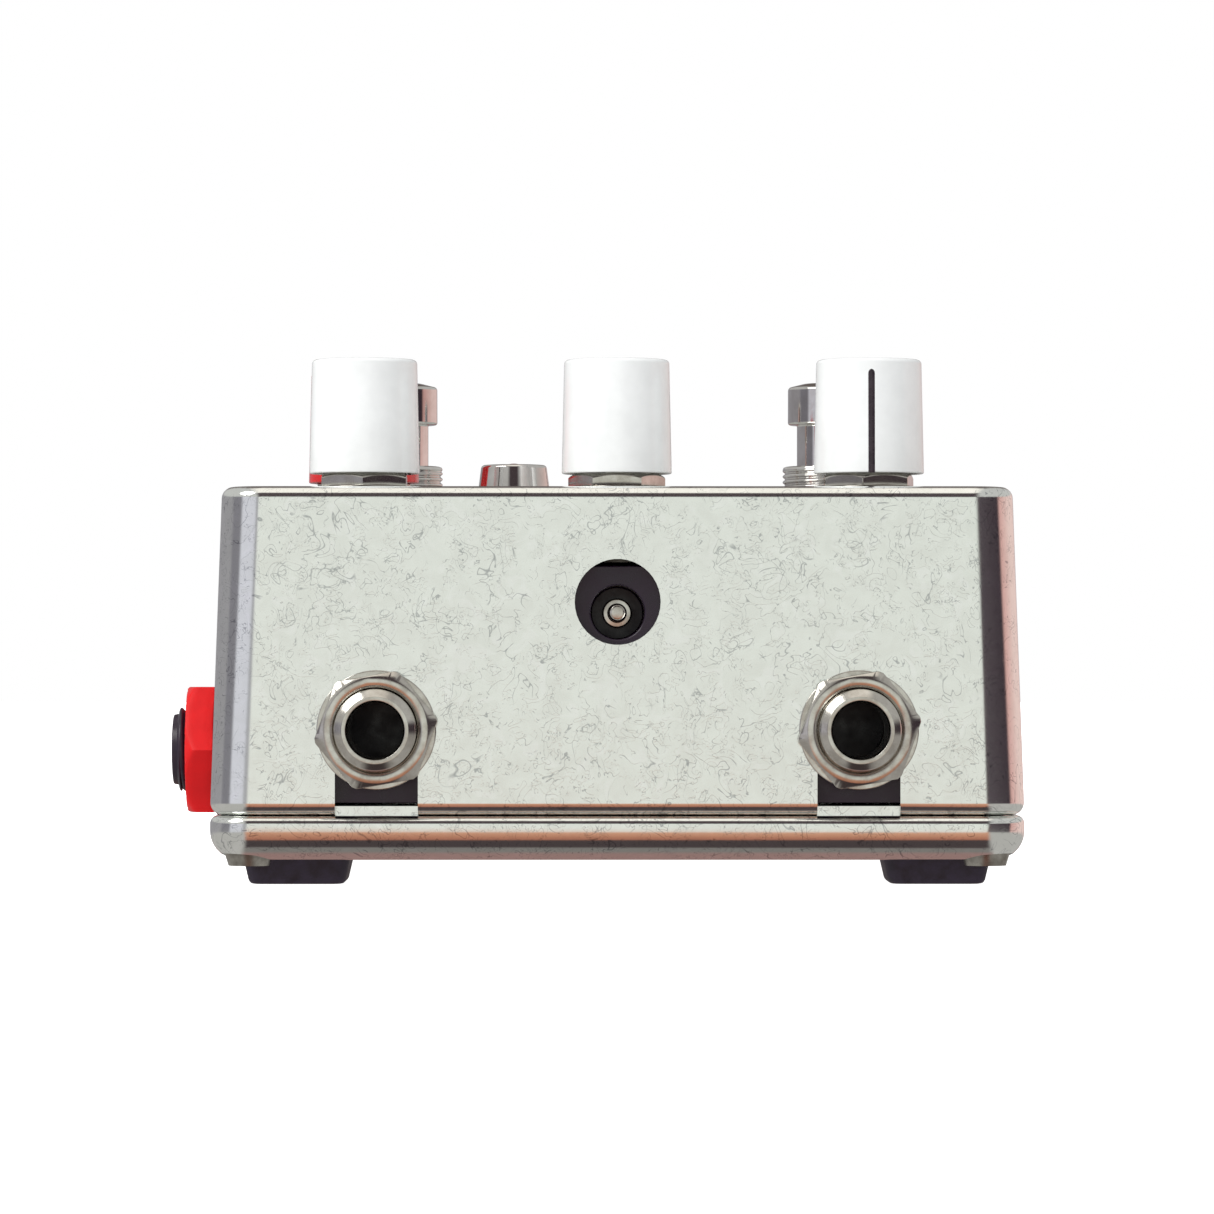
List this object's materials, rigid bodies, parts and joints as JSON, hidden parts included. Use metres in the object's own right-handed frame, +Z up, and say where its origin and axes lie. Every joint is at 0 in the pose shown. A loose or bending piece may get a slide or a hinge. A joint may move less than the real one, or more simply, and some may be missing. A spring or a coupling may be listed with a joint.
{
  "type": "guitar effects pedal",
  "caption": "Cast-box guitar effects pedal with fluted knobs, footswitches, an indicator lamp, sockets for instrument leads and a centre-pin power inlet.",
  "frame": {"origin": "under the middle of the whole object, on the plane of the feet", "axes": "+Z up; the jack panel faces -Y and the footswitches stand towards +Y; +X is to the right when facing the jack panel"},
  "size_m": [0.1022, 0.125, 0.0632],
  "materials": {
    "cast_silver": "die-cast aluminium in glossy silver hammer enamel",
    "steel": "bright",
    "black_rubber": "matte",
    "black_plastic": "satin",
    "nickel": "polished nickel plate",
    "chrome": "polished",
    "brass_contact": "satin",
    "wire": "insulation",
    "red_plastic": "semi-gloss",
    "white_plastic": "semi-gloss",
    "pointer_black": "gloss",
    "pot_metal": "satin",
    "lamp_lens": "tinted lens",
    "switch_blue": "satin",
    "board_green": "solder mask",
    "ribbon_grey": "matte",
    "film_yellow": "dipped",
    "can_blue": "sleeve",
    "resistor_tan": "lacquer"
  },
  "bodies": {
    "chassis": {"enclosure_body": "cast_silver", "base_cover": "cast_silver", "cover_screws": "steel", "rubber_feet": "black_rubber", "input_jack_housing": "black_plastic", "input_jack_bushing": "nickel", "output_jack_housing": "black_plastic", "output_jack_bushing": "nickel", "jack_contacts": "brass_contact", "jack_nuts": "nickel", "jack_washers": "nickel", "jack_wires": "wire", "side_jack_housing": "black_plastic", "side_jack_contacts": "brass_contact", "side_jack_washer": "black_plastic", "side_jack_nut": "red_plastic", "power_inlet_housing": "black_plastic", "power_inlet_contacts": "nickel", "left_pot_body": "pot_metal", "middle_pot_body": "pot_metal", "right_pot_body": "pot_metal", "red_pot_body": "pot_metal", "pot_nuts": "nickel", "pot_washers": "nickel", "pot_terminals": "brass_contact", "lamp_bezel": "chrome", "lamp": "lamp_lens", "lamp_bezel_nut": "nickel", "left_switch_body": "switch_blue", "right_switch_body": "switch_blue", "left_switch_bushing": "chrome", "right_switch_bushing": "chrome", "left_switch_spring": "steel", "right_switch_spring": "steel", "footswitch_nuts": "nickel", "footswitch_washers": "nickel", "footswitch_lugs": "brass_contact", "main_circuit_board": "board_green", "power_circuit_board": "board_green", "footswitch_board": "board_green", "board_connector": "black_plastic", "ribbon_cable": "ribbon_grey", "integrated_circuits": "black_plastic", "film_capacitors": "film_yellow", "electrolytic_capacitors": "can_blue", "resistors": "resistor_tan"},
    "left_knob_group": {"left_knob": "white_plastic", "left_knob_pointer": "pointer_black", "left_pot_shaft": "pot_metal"},
    "middle_knob_group": {"middle_knob": "white_plastic", "middle_knob_pointer": "pointer_black", "middle_pot_shaft": "pot_metal"},
    "right_knob_group": {"right_knob": "white_plastic", "right_knob_pointer": "pointer_black", "right_pot_shaft": "pot_metal"},
    "red_knob_group": {"red_knob": "red_plastic", "red_knob_pointer": "pointer_black", "red_pot_shaft": "pot_metal"},
    "left_footswitch": {"left_switch_plunger": "chrome"},
    "right_footswitch": {"right_switch_plunger": "chrome"}
  },
  "joints": [
    {"name": "left_knob_turn", "type": "hinge", "parent": "chassis", "child": "left_knob_group", "pos_m": [-0.02657, -0.0425, 0.055], "axis": [0, 0, -1], "range_deg": [-30, 270]},
    {"name": "middle_knob_turn", "type": "hinge", "parent": "chassis", "child": "middle_knob_group", "pos_m": [0.00343, -0.0425, 0.055], "axis": [0, 0, -1], "range_deg": [0, 300]},
    {"name": "right_knob_turn", "type": "hinge", "parent": "chassis", "child": "right_knob_group", "pos_m": [0.03343, -0.0425, 0.055], "axis": [0, 0, -1], "range_deg": [-150, 150]},
    {"name": "red_knob_turn", "type": "hinge", "parent": "chassis", "child": "red_knob_group", "pos_m": [-0.02747, -0.0205, 0.055], "axis": [0, 0, -1], "range_deg": [-270, 30]},
    {"name": "left_footswitch_press", "type": "slide", "parent": "chassis", "child": "left_footswitch", "axis": [0, 0, -1], "range_m": [0, 0.0025], "stiffness_N_per_m": 4000, "springref_m": -0.002, "deforming": ["left_switch_spring"]},
    {"name": "right_footswitch_press", "type": "slide", "parent": "chassis", "child": "right_footswitch", "axis": [0, 0, -1], "range_m": [0, 0.0025], "stiffness_N_per_m": 4000, "springref_m": -0.002, "deforming": ["right_switch_spring"]}
  ]
}
